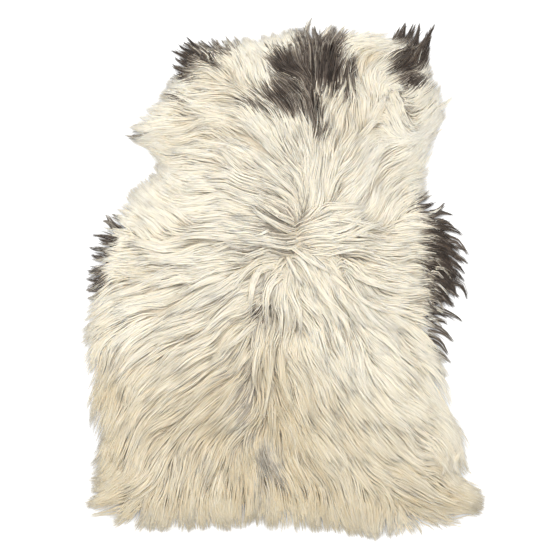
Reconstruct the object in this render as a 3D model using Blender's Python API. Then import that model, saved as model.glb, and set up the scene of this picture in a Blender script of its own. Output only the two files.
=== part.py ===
"""A long-wool sheepskin laid out on a flat surface: one tanned pelt with its wool on.

Metres, +Z up. The origin is on the surface under the middle of the pelt, and +Y points to the neck.
The skin's flat underside lies at z = 0. The wool over it is a lumpy slab, combed outwards from a
whorl on the back, and the locks at its rim fan out past the skin and come down to the surface.
"""

import math
import random

import bmesh
import bpy
from mathutils import Vector, noise

MM = 0.001
SEED = 11

# The whorl from which the wool is combed outwards, and the ends of the back's middle line through it, in
# millimetres.
WHORL_X, WHORL_Y = -10, 28
LINE_FOOT, LINE_HEAD = -300, 330

# The line that the wool's tips reach, clockwise from above, starting at the left corner of the neck.
# Each row is x and y in millimetres and the heading of the locks there in degrees, 0 towards +X and 90
# towards +Y.
TIP_LINE = (
    (-222, 462, 140),
    (-204, 502, 125),
    (-116, 510, 105),
    (-30, 510, 98),
    (50, 538, 84),
    (146, 544, 62),
    (238, 522, 40),
    (316, 542, 60),
    (330, 494, 55),
    (326, 442, 60),
    (356, 362, 50),
    (334, 280, 40),
    (322, 228, 30),
    (308, 178, 15),
    (320, 134, 0),
    (364, 98, -15),
    (380, 36, -30),
    (376, -50, -38),
    (352, -134, -45),
    (334, -194, -50),
    (332, -254, -50),
    (356, -328, -55),
    (370, -394, -50),
    (368, -436, -20),
    (384, -462, 8),
    (364, -514, -30),
    (286, -530, -60),
    (196, -544, -78),
    (100, -534, -80),
    (-12, -528, -85),
    (-142, -528, -92),
    (-236, -532, -82),
    (-320, -516, -140),
    (-360, -492, 180),
    (-348, -446, 195),
    (-370, -382, 238),
    (-364, -274, 232),
    (-382, -164, 220),
    (-370, -94, 200),
    (-384, -28, 184),
    (-372, 50, 165),
    (-346, 106, 150),
    (-300, 154, 130),
    (-254, 210, 150),
    (-268, 256, 172),
    (-292, 300, 170),
    (-248, 366, 160),
    (-218, 428, 150),
)

# The slab's rings from its rim to the whorl: the share of the way out, and the points on the ring.
RINGS = (
    (1.00, 152),
    (0.93, 152),
    (0.86, 152),
    (0.79, 152),
    (0.72, 152),
    (0.65, 152),
    (0.57, 152),
    (0.49, 76),
    (0.41, 76),
    (0.34, 76),
    (0.27, 76),
    (0.21, 38),
    (0.15, 38),
    (0.10, 19),
    (0.05, 19),
)
RIM_LOCKS = RINGS[0][1]

# Partings and hollows in the wool: the middle in millimetres, the heading in degrees, half the length and
# half the width in millimetres, and the depth in millimetres, which is negative for a hump.
HOLLOWS = (
    (-14, 28, 80, 60, 26, 13),
    (-16, 110, 92, 90, 20, 8),
    (-22, -190, 88, 190, 22, 9),
    (-10, -400, -60, 70, 30, 12),
    (158, -38, -40, 60, 22, 9),
    (268, -352, -30, 70, 22, 10),
    (-292, -446, 60, 50, 22, 10),
    (40, 300, 70, 90, 40, -6),
    (-200, -120, 20, 120, 50, -5),
    (190, -200, -60, 130, 50, -5),
    (-160, 250, 10, 90, 40, -5),
    (90, -330, -70, 110, 40, -4),
)

SKIN_THICKNESS = 2.6 * MM
SKIN_BEVEL = 1.0 * MM
SKIN_INSET = 24 * MM  # from the slab's rim to the cut edge of the skin
LOCK_REACH = 50 * MM  # from the slab's rim to the tip line
RIM_HEIGHT = 24 * MM
CROWN_HEIGHT = 56 * MM
SHOULDER = 130 * MM  # over this width the wool rises from its rim to its crown
TUFT_RELIEF = 10 * MM
TUFT_SPREAD = 1.6
TUFT_CARRY = 0.5  # the share of a tuft's relief that runs on to the next ring
RIM_RELIEF = 0.5  # the share of the tufts' relief that shows at the rim
SWELL_RELIEF = 5 * MM
SWELL_SIZE = 110 * MM

# A lock's cross-sections: the share of its length, and of its root's width.
LOCK_SECTIONS = ((0.30, 0.84), (0.60, 0.60), (0.84, 0.30))
LOCK_TIP_TAPER = 0.05
LOCK_CLEARANCE = 0.4 * MM  # between the surface and a lock that lies along it
LOCK_BEND = 0.5  # the share of its length in which a lock leaves the rim squarely
LOCK_LENGTHS = (0.78, 1.06)  # shares of the reach, between which the locks vary
LOCK_SPLAY = 0.25  # how far a lock's tip strays along the tip line, in lock widths
MOST_LEAN = math.radians(45)
EASING_PASSES = 12

CURVE_STEPS = 12
SHARP_ANGLE = math.radians(60)
WOOL_COLOUR = (0.71, 0.64, 0.52, 1.0)  # linear cream
WOOL_ROUGHNESS = 0.9


def clear_scene():
    for thing in list(bpy.data.objects):
        bpy.data.objects.remove(thing)


def tip_curve():
    """Fine points of the smooth closed curve through TIP_LINE, each x, y and the comb's direction."""
    keys = []
    for x, y, heading in TIP_LINE:
        turn = math.radians(heading)
        keys.append(Vector((x * MM, y * MM, math.cos(turn), math.sin(turn))))
    fine = []
    for i, b in enumerate(keys):
        a, c, d = keys[i - 1], keys[(i + 1) % len(keys)], keys[(i + 2) % len(keys)]
        for step in range(CURVE_STEPS):
            t = step / CURVE_STEPS
            bend = (c - a) * t + (2 * a - 5 * b + 4 * c - d) * t**2 + (3 * b - a - 3 * c + d) * t**3
            fine.append(b + 0.5 * bend)
    return fine


def evenly_spaced(curve, count):
    """count points at even distances along a closed curve."""
    lengths = [(curve[i].xy - curve[i - 1].xy).length for i in range(1, len(curve))]
    lengths.append((curve[0].xy - curve[-1].xy).length)
    spacing = sum(lengths) / count
    found, passed = [], 0.0
    for i, length in enumerate(lengths):
        while len(found) < count and len(found) * spacing < passed + length:
            share = (len(found) * spacing - passed) / length
            found.append(curve[i].lerp(curve[(i + 1) % len(curve)], share))
        passed += length
    return found


def drawn_in(point, inset):
    """A point moved towards the back's middle line."""
    on_line = Vector((WHORL_X * MM, min(max(point.y, LINE_FOOT * MM), LINE_HEAD * MM)))
    return point + (on_line - point).normalized() * inset


def smooth_step(x):
    x = min(max(x, 0.0), 1.0)
    return x * x * (3 - 2 * x)


def hollow_depth(point):
    """How far the partings and hollows lower the wool at a point."""
    depth = 0.0
    for x, y, heading, half_length, half_width, deep in HOLLOWS:
        turn = math.radians(heading)
        away = point - Vector((x * MM, y * MM))
        along = (away.x * math.cos(turn) + away.y * math.sin(turn)) / (half_length * MM)
        across = (away.y * math.cos(turn) - away.x * math.sin(turn)) / (half_width * MM)
        depth += deep * MM * math.exp(-(along**2) - across**2)
    return depth


def distance_to(line, point):
    """The distance from a point to a closed line."""
    nearest = math.inf
    for i, start in enumerate(line):
        run = line[(i + 1) % len(line)] - start
        share = min(max((point - start).dot(run) / run.length_squared, 0.0), 1.0)
        nearest = min(nearest, (start + run * share - point).length)
    return nearest


def tuft_relief(rng):
    """For each ring and spoke, about -1 to 1. A tuft's relief carries on inwards, so tufts run outwards."""
    relief, last = [], [0.0] * RIM_LOCKS
    for _ in RINGS:
        fresh = [rng.uniform(-TUFT_SPREAD, TUFT_SPREAD) for _ in last]
        last = [TUFT_CARRY * old + (1 - TUFT_CARRY) * new for old, new in zip(last, fresh)]
        relief.append(last)
    return relief


def wool_height(point, rim, relief):
    """The height of the combed wool over a point inside the slab's rim."""
    shoulder = smooth_step(distance_to(rim, point) / SHOULDER)
    swell = noise.noise(Vector((*(point / SWELL_SIZE), 0.0)))
    height = RIM_HEIGHT + (CROWN_HEIGHT - RIM_HEIGHT) * shoulder
    height += TUFT_RELIEF * relief * (RIM_RELIEF + (1 - RIM_RELIEF) * shoulder)
    height += SWELL_RELIEF * swell * shoulder
    return height - hollow_depth(point) * shoulder


def lay_rings(bm, rim, whorl, rng):
    """The vertices of the slab's top, ring by ring, and the one at the whorl."""
    relief = tuft_relief(rng)
    rings = []
    for ring, (share, count) in enumerate(RINGS):
        row = []
        for spoke in range(0, RIM_LOCKS, RIM_LOCKS // count):
            point = whorl.lerp(rim[spoke], share)
            row.append(bm.verts.new((*point, wool_height(point, rim, relief[ring][spoke]))))
        rings.append(row)
    middle = bm.verts.new((*whorl, wool_height(whorl, rim, 0.0)))
    return rings, middle


def join_rings(bm, outer, inner):
    """Faces between two rings, the inner with as many points as the outer or half as many."""
    count = len(inner)
    for i in range(count):
        j = (i + 1) % count
        if len(outer) == count:
            bm.faces.new((outer[i], outer[j], inner[j], inner[i]))
            continue
        first, between, last = outer[2 * i], outer[2 * i + 1], outer[2 * j]
        bm.faces.new((first, between, inner[i]))
        bm.faces.new((between, inner[j], inner[i]))
        bm.faces.new((between, last, inner[j]))


def close_underside(bm, rim, foot):
    """The wool's underside round the skin, and the skin's edge and flat underside."""
    edge = [bm.verts.new((*drawn_in(point, SKIN_INSET), SKIN_THICKNESS)) for point in rim]
    base = [bm.verts.new((*drawn_in(point, SKIN_INSET + SKIN_BEVEL), 0.0)) for point in rim]
    join_rings(bm, edge, foot)
    join_rings(bm, base, edge)
    bm.faces.new(reversed(base))


def combed_along(tips):
    """How far each lock's tip is combed along the tip line, in lock widths, eased from lock to lock."""
    count = len(tips)
    moved = []
    for i in range(count):
        along = tips[(i + 1) % count].xy - tips[i].xy
        out = Vector((-along.y, along.x))
        comb = tips[i].lerp(tips[(i + 1) % count], 0.5).zw
        lean = math.atan2(comb.dot(along), comb.dot(out))
        lean = min(max(lean, -MOST_LEAN), MOST_LEAN)
        moved.append(math.tan(lean) * LOCK_REACH / along.length)
    for _ in range(EASING_PASSES):
        moved = [(moved[i - 1] + 2 * moved[i] + moved[(i + 1) % count]) / 4 for i in range(count)]
    return moved


def lock_tips(tips, rng):
    """Where the lock between each two points of the tip line ends."""
    ends = []
    for i, moved in enumerate(combed_along(tips)):
        place = i + 0.5 + moved + rng.uniform(-LOCK_SPLAY, LOCK_SPLAY)
        first = math.floor(place)
        before, after = tips[first % len(tips)], tips[(first + 1) % len(tips)]
        ends.append(before.xy.lerp(after.xy, place - first))
    return ends


def grow_lock(bm, wall, outward, end):
    """Draws one face of the rim out into a lock that tapers, bends over and comes down to the surface."""
    root = wall.calc_center_median()
    half_height = root.z - SKIN_THICKNESS
    bend = root.xy + outward * (end - root.xy).length * LOCK_BEND
    place, width = root, 1.0
    for share, taper in (*LOCK_SECTIONS, (1.0, 0.0)):
        ahead = root.xy.lerp(bend, share).lerp(bend.lerp(end, share), share)
        moved = Vector((*ahead, LOCK_CLEARANCE + half_height * max(taper, LOCK_TIP_TAPER)))
        wall = bmesh.ops.extrude_discrete_faces(bm, faces=[wall])["faces"][0]
        if taper:
            for vert in wall.verts:
                vert.co = moved + (vert.co - place) * (taper / width)
        else:
            bmesh.ops.pointmerge(bm, verts=list(wall.verts), merge_co=moved)
        place, width = moved, taper


def centre_over_origin(bm):
    """Moves the pelt sideways so that the middle of its box is at x = y = 0."""
    for axis in (0, 1):
        places = [vert.co[axis] for vert in bm.verts]
        middle = (min(places) + max(places)) / 2
        for vert in bm.verts:
            vert.co[axis] -= middle


def build_sheepskin():
    rng = random.Random(SEED)
    whorl = Vector((WHORL_X * MM, WHORL_Y * MM))
    tips = evenly_spaced(tip_curve(), RIM_LOCKS)
    rim = [drawn_in(tip.xy, LOCK_REACH) for tip in tips]

    bm = bmesh.new()
    rings, middle = lay_rings(bm, rim, whorl, rng)
    for outer, inner in zip(rings, rings[1:]):
        join_rings(bm, outer, inner)
    last = rings[-1]
    for i, vert in enumerate(last):
        bm.faces.new((vert, last[(i + 1) % len(last)], middle))
    foot = [bm.verts.new((*point, SKIN_THICKNESS)) for point in rim]
    close_underside(bm, rim, foot)

    walls = []
    top = rings[0]
    for i in range(RIM_LOCKS):
        j = (i + 1) % RIM_LOCKS
        walls.append(bm.faces.new((foot[i], foot[j], top[j], top[i])))
    bmesh.ops.recalc_face_normals(bm, faces=bm.faces)
    for i, (wall, end) in enumerate(zip(walls, lock_tips(tips, rng))):
        root = rim[i].lerp(rim[(i + 1) % RIM_LOCKS], 0.5)
        outward = (root - drawn_in(root, LOCK_REACH)).normalized()
        grow_lock(bm, wall, outward, root.lerp(end, rng.uniform(*LOCK_LENGTHS)))

    centre_over_origin(bm)
    mesh = bpy.data.meshes.new("sheepskin")
    bm.to_mesh(mesh)
    bm.free()
    mesh.shade_smooth()
    mesh.set_sharp_from_angle(angle=SHARP_ANGLE)
    pelt = bpy.data.objects.new("sheepskin", mesh)
    bpy.context.scene.collection.objects.link(pelt)
    return pelt


def wool_material():
    wool = bpy.data.materials.new("cream_wool")
    wool.use_nodes = True
    shader = wool.node_tree.nodes["Principled BSDF"]
    shader.inputs["Base Color"].default_value = WOOL_COLOUR
    shader.inputs["Roughness"].default_value = WOOL_ROUGHNESS
    shader.inputs["Metallic"].default_value = 0.0
    return wool


clear_scene()
sheepskin = build_sheepskin()
sheepskin.data.materials.append(wool_material())
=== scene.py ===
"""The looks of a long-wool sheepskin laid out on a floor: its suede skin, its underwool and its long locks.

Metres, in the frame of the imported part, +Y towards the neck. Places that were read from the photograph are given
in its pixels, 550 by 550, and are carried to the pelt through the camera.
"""

import math
from typing import NamedTuple

import bpy
import numpy as np
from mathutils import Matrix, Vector


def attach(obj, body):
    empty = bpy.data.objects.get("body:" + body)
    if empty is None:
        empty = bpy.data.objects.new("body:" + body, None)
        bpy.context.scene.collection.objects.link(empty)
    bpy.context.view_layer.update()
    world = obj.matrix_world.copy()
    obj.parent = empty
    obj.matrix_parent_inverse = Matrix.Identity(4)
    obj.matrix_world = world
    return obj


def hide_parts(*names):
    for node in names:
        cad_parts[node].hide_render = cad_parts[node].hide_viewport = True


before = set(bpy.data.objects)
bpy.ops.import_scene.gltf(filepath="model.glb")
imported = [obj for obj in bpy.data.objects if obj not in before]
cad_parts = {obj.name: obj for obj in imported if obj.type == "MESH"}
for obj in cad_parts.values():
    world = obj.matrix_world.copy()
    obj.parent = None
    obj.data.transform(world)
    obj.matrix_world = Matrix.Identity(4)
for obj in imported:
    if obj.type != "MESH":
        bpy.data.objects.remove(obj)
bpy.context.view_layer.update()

MM = 0.001
SEED = 23

# The camera, at the photograph's viewing angle, above the pelt that is laid out.
LENS = 85.0
SENSOR = 36.0
TILT = math.radians(20)
CAMERA_PLACE = (-0.0032, -0.9140, 2.4432)
PICTURE = 550.0

# The line that the tips of the wool reach: pixel x, pixel y, and the heading of the wool there in degrees,
# 0 to the right and 90 up, clockwise from the left corner of the neck.
TIP_LINE = (
    (173, 60, 150), (182, 43, 130), (222, 39, 112), (262, 35, 112), (298, 27, 96), (345, 26, 62),
    (390, 33, 20), (408, 31, 60), (422, 36, 60), (430, 44, 55), (430, 66, 52), (446, 100, 55), (437, 135, 50),
    (433, 158, 25), (427, 180, 30), (433, 200, 10), (446, 213, -15), (455, 236, -35), (461, 262, -45),
    (459, 286, -50), (451, 308, -45), (440, 322, -45), (443, 342, -50), (448, 385, -50), (463, 422, -45),
    (473, 454, -70), (475, 466, -60), (470, 478, -30), (472, 486, -5), (483, 493, 8), (480, 510, -10),
    (471, 522, -25), (445, 528, -52), (423, 531, -62), (382, 536, -78), (330, 530, -75), (274, 528, -88),
    (255, 522, -90), (238, 527, -90), (200, 527, -95), (150, 529, -100), (122, 525, 228), (97, 517, 208),
    (87, 507, 190), (92, 483, 190), (82, 450, 250),
    (88, 395, 238), (82, 340, 222), (89, 306, 208), (88, 280, 190), (92, 260, 180), (98, 242, 170), (109, 220, 150),
    (130, 191, 135), (157, 168, 150), (147, 148, 172), (131, 132, 175), (158, 98, 168), (173, 72, 160),
)

# Locks that end in a spike past that line: pixel x and y of the root and of the tip, how far the lock bows to
# its left in pixels, half its width in pixels, and how dark it is, from 0 to 1.
SPIKES = (
    (428, 212, 447, 203, -2, 3, 1.0), (428, 216, 455, 213, 4, 4, 1.0), (428, 222, 457, 227, 6, 5, 1.0),
    (430, 231, 465, 236, 8, 5, 1.0), (432, 239, 470, 257, 11, 6, 1.0), (438, 247, 468, 252, 6, 4, 1.0),
    (434, 252, 468, 267, 9, 5, 1.0), (436, 262, 467, 275, 8, 6, 1.0), (438, 271, 466, 284, 8, 5, 1.0),
    (439, 281, 465, 302, 12, 6, 1.0), (436, 290, 460, 298, 5, 5, 0.9), (432, 299, 455, 308, 5, 5, 0.9),
    (430, 308, 465, 321, 4, 5, 0.9), (428, 318, 449, 324, 3, 4, 0.8), (428, 324, 454, 344, 5, 5, 0.9),
    (428, 335, 451, 355, 4, 5, 0.8), (426, 346, 449, 367, 4, 5, 0.6), (428, 359, 447, 378, 4, 5, 0.4),
    (122, 232, 107, 212, 2, 5, 0.8), (120, 230, 101, 220, -1, 5, 0.8), (120, 242, 90, 234, -3, 4, 1.0),
    (118, 248, 97, 239, -2, 4, 1.0), (115, 253, 87, 249, -2, 5, 1.0), (112, 260, 89, 257, -1, 4, 1.0),
    (110, 267, 86, 270, 3, 5, 1.0), (114, 276, 84, 280, 2, 5, 1.0), (106, 285, 85, 290, 1, 5, 0.9),
    (104, 293, 86, 299, 1, 5, 0.6), (104, 316, 86, 327, 1, 5, 0.4), (102, 326, 80, 337, 1, 5, 0.35),
    (202, 64, 187, 34, -3, 4, 1.1), (198, 58, 182, 40, -2, 3, 1.1), (198, 62, 176, 44, -2, 3, 1.1),
    (196, 66, 169, 48, -1, 4, 1.1), (194, 70, 172, 58, -1, 4, 1.1), (195, 75, 172, 67, 0, 4, 1.1),
    (197, 80, 174, 74, 1, 4, 1.1), (214, 64, 196, 42, -3, 2, 1.1), (216, 60, 199, 39, -4, 2, 1.1),
    (226, 60, 211, 35, -3, 3, 0.9), (220, 62, 206, 40, -3, 2, 0.9), (232, 62, 220, 38, -2, 2, 0.7),
    (264, 54, 261, 34, 0, 5, 0.0), (271, 51, 270, 30, 0, 5, 0.0), (236, 62, 225, 34, -2, 3, 0.7),
    (244, 60, 235, 33, -2, 3, 0.5), (192, 100, 162, 94, -1, 2, 1.0),
    (174, 110, 144, 106, -1, 6, 0.0), (156, 124, 127, 126, -1, 6, 0.3),
    (154, 136, 122, 135, 1, 4, 0.6), (162, 119, 136, 117, 0, 6, 0.0), (304, 42, 312, 15, 1, 4, 0.5),
    (296, 48, 292, 25, 0, 6, 0.3), (322, 42, 330, 22, 1, 6, 0.4), (398, 46, 406, 21, 1, 3, 1.1),
    (401, 48, 410, 23, 1, 3, 1.1), (404, 50, 413, 21, 1, 3, 1.1), (407, 51, 418, 23, 1, 3, 1.1),
    (409, 53, 421, 21, 0, 3, 1.1), (411, 54, 422, 27, -1, 3, 1.1), (412, 62, 434, 20, -2, 4, 1.1),
    (415, 62, 433, 26, -2, 4, 1.1), (417, 64, 433, 33, -2, 4, 1.1), (410, 58, 430, 30, -2, 4, 1.1),
    (412, 70, 432, 45, -2, 5, 1.1), (410, 74, 430, 55, -2, 5, 1.1), (410, 78, 428, 64, -2, 5, 1.0),
    (393, 48, 401, 26, 2, 3, 0.9), (396, 48, 403, 28, 1, 3, 1.0), (428, 106, 443, 84, -1, 6, 0.0), (428, 112, 454, 95, -2, 4, 0.0),
    (420, 264, 444, 270, 5, 2, 0.4), (422, 277, 448, 286, 6, 2, 0.44), (420, 292, 444, 298, 5, 2, 0.38),
    (422, 230, 442, 230, 4, 2, 0.4), (418, 214, 444, 205, -4, 2, 0.1), (424, 306, 444, 316, 4, 2, 0.38),
    (420, 246, 440, 250, 4, 2, 0.4), (422, 284, 450, 297, 6, 2, 0.46), (424, 300, 446, 312, 5, 2, 0.44),
    (424, 318, 442, 328, 4, 2, 0.36), (420, 224, 438, 221, -3, 2, 0.36), (426, 270, 452, 280, 5, 2, 0.48),
)

# Single locks that lie over the others: half their width in pixels, how far they stand over the wool in
# millimetres, how dark they are, from 0 to 1, and the pixels that they pass through, from root to tip.
CURLS = (
    (5, 3, 0.0, (304, 221), (322, 210), (343, 208), (372, 203)),
    (5, 3, 0.0, (307, 226), (329, 218), (362, 224), (396, 229)),
    (5, 2, 0.0, (300, 235), (327, 240), (362, 236), (388, 248)),
    (6, 3, 0.0, (291, 242), (319, 254), (353, 249), (396, 260)),
    (5, 8, 0.0, (328, 273), (342, 262), (353, 268), (362, 280), (380, 288), (412, 292)),
    (4, 7, 0.0, (334, 278), (345, 270), (352, 284), (364, 300), (398, 314)),
    (3, 5, 0.0, (342, 270), (345, 283), (341, 297), (350, 308), (366, 318)),
    (2, 6, 0.0, (289, 241), (303, 258), (320, 267), (336, 278)),
    (2, 6, 0.0, (286, 250), (293, 268), (304, 289)),
    (3, 5, 0.0, (290, 252), (306, 268), (312, 284), (322, 300)),
    (5, 4, 0.0, (298, 260), (315, 281), (334, 310), (344, 338)),
    (5, 4, 0.0, (286, 272), (291, 293), (299, 317), (301, 342)),
    (5, 5, 0.0, (294, 274), (276, 277), (267, 298), (267, 334)),
    (4, 5, 0.0, (284, 264), (260, 270), (250, 290), (246, 320)),
    (5, 4, 0.0, (286, 256), (258, 261), (241, 276), (228, 300)),
    (4, 2, 0.1, (288, 238), (276, 235), (262, 240), (248, 240)),
    (4, 2, 0.1, (284, 248), (268, 248), (254, 254), (238, 262)),
    (3, 4, 0.2, (300, 229), (280, 228), (262, 220), (246, 209)),
    (3, 4, 0.2, (298, 221), (278, 217), (262, 207), (250, 197)),
    (3, 4, 0.0, (302, 212), (292, 200), (277, 190), (256, 184)),
    (3, 3, 0.0, (304, 206), (302, 192), (296, 178), (284, 166)),
    (2, 5, 0.1, (274, 228), (264, 236), (254, 238)),
    (3, 5, 0.0, (272, 330), (268, 365), (266, 400), (264, 434)),
    (4, 4, 0.0, (280, 326), (282, 360), (285, 392), (294, 424)),
    (4, 4, 0.0, (262, 316), (250, 330), (236, 342), (216, 352)),
    (4, 4, 0.0, (306, 268), (322, 296), (346, 326), (356, 356)),
    (4, 4, 0.0, (318, 262), (344, 292), (372, 320), (390, 348)),
    (4, 4, 0.0, (424, 428), (442, 436), (452, 452), (454, 468)),
    (3, 5, 0.0, (450, 434), (448, 446), (456, 458), (452, 472)),
    (3, 5, 0.0, (458, 432), (462, 446), (456, 460), (462, 474)),
    (3, 4, 0.0, (438, 440), (448, 452), (446, 466), (440, 476)),
)

# The way the wool is combed over the pelt: pixel x, pixel y and heading.
COMB = (
    (200, 62, 155), (205, 50, 125), (235, 45, 110), (200, 80, 162), (185, 105, 167), (225, 98, 162),
    (165, 130, 178), (215, 130, 176), (190, 158, 178), (155, 180, 130), (150, 200, 125), (205, 198, 180),
    (172, 120, 175), (250, 50, 118), (275, 75, 127), (270, 105, 130), (302, 50, 97), (300, 90, 102),
    (328, 50, 78), (325, 90, 82), (360, 34, 28), (388, 40, 20), (352, 75, 88), (352, 115, 88),
    (378, 95, 95), (400, 45, 50), (420, 38, 58), (412, 72, 38), (425, 90, 58), (430, 115, 58),
    (393, 98, -65), (402, 122, -62), (432, 150, 45), (290, 135, 115), (262, 150, 150), (250, 180, 160),
    (285, 170, 135), (320, 140, 68), (320, 180, 70), (360, 150, 48), (380, 180, 48), (410, 150, 22),
    (425, 165, 18), (405, 190, 40), (130, 215, 145), (105, 245, 170), (125, 262, 178), (170, 262, 180),
    (225, 262, 182), (110, 285, 205), (160, 288, 205), (130, 320, 215), (180, 325, 215), (218, 305, 212),
    (100, 325, 212), (215, 215, 172), (240, 200, 166), (272, 208, 155), (294, 195, 125), (310, 190, 82),
    (325, 198, 66), (328, 212, 14), (360, 212, 20), (312, 233, -4), (345, 238, 2), (372, 228, 14),
    (258, 234, 176), (278, 240, 178), (238, 255, 190), (262, 258, 196), (245, 278, 222), (262, 292, 234),
    (276, 278, 255), (280, 325, 262), (298, 268, 292), (305, 310, 298), (330, 270, 315), (336, 300, 300),
    (355, 200, 46), (390, 208, 42), (400, 226, 24), (395, 250, 5), (352, 254, -2), (365, 278, -38),
    (350, 300, -72), (395, 272, -8), (420, 268, -12), (405, 298, -22), (425, 300, -24), (395, 325, -45),
    (420, 335, -45), (434, 215, 12), (450, 227, -10), (463, 243, -50), (438, 248, 6), (455, 254, -22),
    (467, 264, -60), (440, 275, 4), (456, 280, -30), (466, 284, -66), (438, 300, -4), (452, 303, -38),
    (462, 306, -68), (436, 325, -15), (448, 330, -45), (434, 345, -35), (446, 355, -60), (100, 360, 237), (120, 390, 237), (170, 370, 221), (215, 385, 222),
    (165, 420, 224), (205, 425, 230), (135, 450, 248), (95, 420, 252), (110, 455, 248), (180, 480, 262),
    (205, 500, 264), (108, 480, 195), (150, 508, 262),
    (135, 500, 206), (120, 494, 197), (106, 508, 205), (122, 514, 214), (136, 516, 232), (235, 365, 231), (235, 420, 234),
    (265, 380, 268), (265, 430, 268), (290, 375, 295), (290, 415, 295), (315, 440, 308), (325, 475, 308),
    (355, 450, 312), (365, 490, 308), (240, 480, 264), (245, 515, 266), (285, 470, 292), (290, 495, 290),
    (320, 505, 285), (345, 515, 290), (355, 365, 290), (380, 400, 300), (410, 365, 315), (430, 385, 315),
    (415, 415, 318), (440, 430, 316), (460, 400, 288), (466, 440, 280), (465, 465, 290), (425, 480, 320),
    (440, 470, 335), (450, 500, 0), (470, 502, 8), (385, 515, 278), (410, 500, 322),
)
COMB_REACH = 9.0  # pixels

# Patches of dark hair: pixel x, pixel y, half length and half width in pixels, heading, darkness from 0 to
# 1, and how much paler the tips are, from 0 to 1.
DARK_PATCHES = (
    (178, 48, 12, 9, 145, 1.1, 0.1), (190, 44, 10, 7, 120, 1.0, 0.1), (186, 54, 16, 6, 140, 1.0, 0.1),
    (207, 60, 14, 4, 146, 0.95, 0.2), (208, 46, 14, 4, 160, 0.95, 0.2), (219, 50, 11, 5, 125, 0.9, 0.3),
    (232, 43, 9, 7, 110, 0.66, 0.4), (180, 71, 13, 7, 160, 1.1, 0.1), (188, 77, 10, 4, 165, 0.9, 0.2),
    (178, 98, 15, 3, 168, 0.8, 0.1), (132, 133, 9, 4, 160, 0.7, 0.1), (130, 137, 9, 3, 190, 0.6, 0.1),
    (292, 88, 27, 21, 125, 0.90, 0.3), (329, 64, 23, 15, 95, 1.35, 0.1), (286, 66, 22, 13, 130, 1.2, 0.1),
    (311, 44, 26, 19, 92, 0.86, 0.2), (330, 40, 24, 17, 80, 0.86, 0.2), (311, 28, 16, 10, 95, 0.75, 0.2),
    (278, 99, 20, 13, 130, 1.05, 0.2), (256, 104, 22, 6, 160, 0.72, 0.3), (252, 92, 12, 6, 130, 0.5, 0.3),
    (350, 78, 24, 6, 88, 0.98, 0.2), (331, 84, 14, 6, 85, 0.98, 0.2), (312, 102, 24, 9, 102, 0.95, 0.2),
    (316, 122, 18, 5, 95, 0.9, 0.2), (327, 131, 10, 4, 60, 0.8, 0.2), (304, 68, 26, 17, 110, 1.02, 0.1),
    (318, 76, 16, 9, 100, 0.95, 0.2), (288, 108, 14, 5, 140, 1.2, 0.1),
    (178, 58, 13, 11, 150, 1.2, 0.0), (205, 56, 14, 4, 140, 1.1, 0.1),
    (409, 30, 16, 12, 75, 1.2, 0.1), (420, 30, 14, 8, 75, 1.2, 0.1), (430, 34, 20, 6, 70, 1.25, 0.0),
    (408, 54, 22, 9, 30, 1.1, 0.2), (410, 69, 16, 7, 20, 1.15, 0.2), (415, 82, 13, 7, 8, 1.2, 0.1), (405, 66, 15, 7, 20, 1.15, 0.1),
    (424, 56, 12, 8, 50, 1.1, 0.1), (386, 53, 10, 5, 20, 0.45, 0.3),
    (430, 206, 12, 12, 0, 1.1, 0.0), (443, 214, 18, 10, -10, 1.2, 0.0), (450, 230, 24, 14, -10, 1.3, 0.0),
    (450, 250, 24, 15, -15, 1.3, 0.0), (450, 272, 24, 16, -20, 1.25, 0.0), (452, 292, 21, 14, -30, 1.25, 0.0),
    (447, 312, 20, 12, -35, 1.2, 0.0), (446, 334, 22, 9, -50, 1.1, 0.1), (446, 354, 20, 7, -55, 0.66, 0.3),
    (436, 338, 18, 5, -55, 0.6, 0.3), (432, 245, 8, 20, -20, 0.42, 0.3),
    (108, 219, 9, 8, 130, 1.0, 0.1), (100, 238, 12, 7, 165, 1.25, 0.0), (90, 234, 8, 5, 175, 1.2, 0.0),
    (95, 253, 12, 7, 175, 1.25, 0.0), (91, 267, 9, 7, 195, 1.25, 0.0), (94, 280, 13, 6, 185, 1.25, 0.0),
    (86, 284, 7, 7, 200, 1.2, 0.0), (88, 295, 7, 5, 205, 0.8, 0.1), (86, 326, 6, 12, 220, 0.5, 0.2),
    (256, 313, 8, 4, 200, 1.2, 0.0),
)
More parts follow.
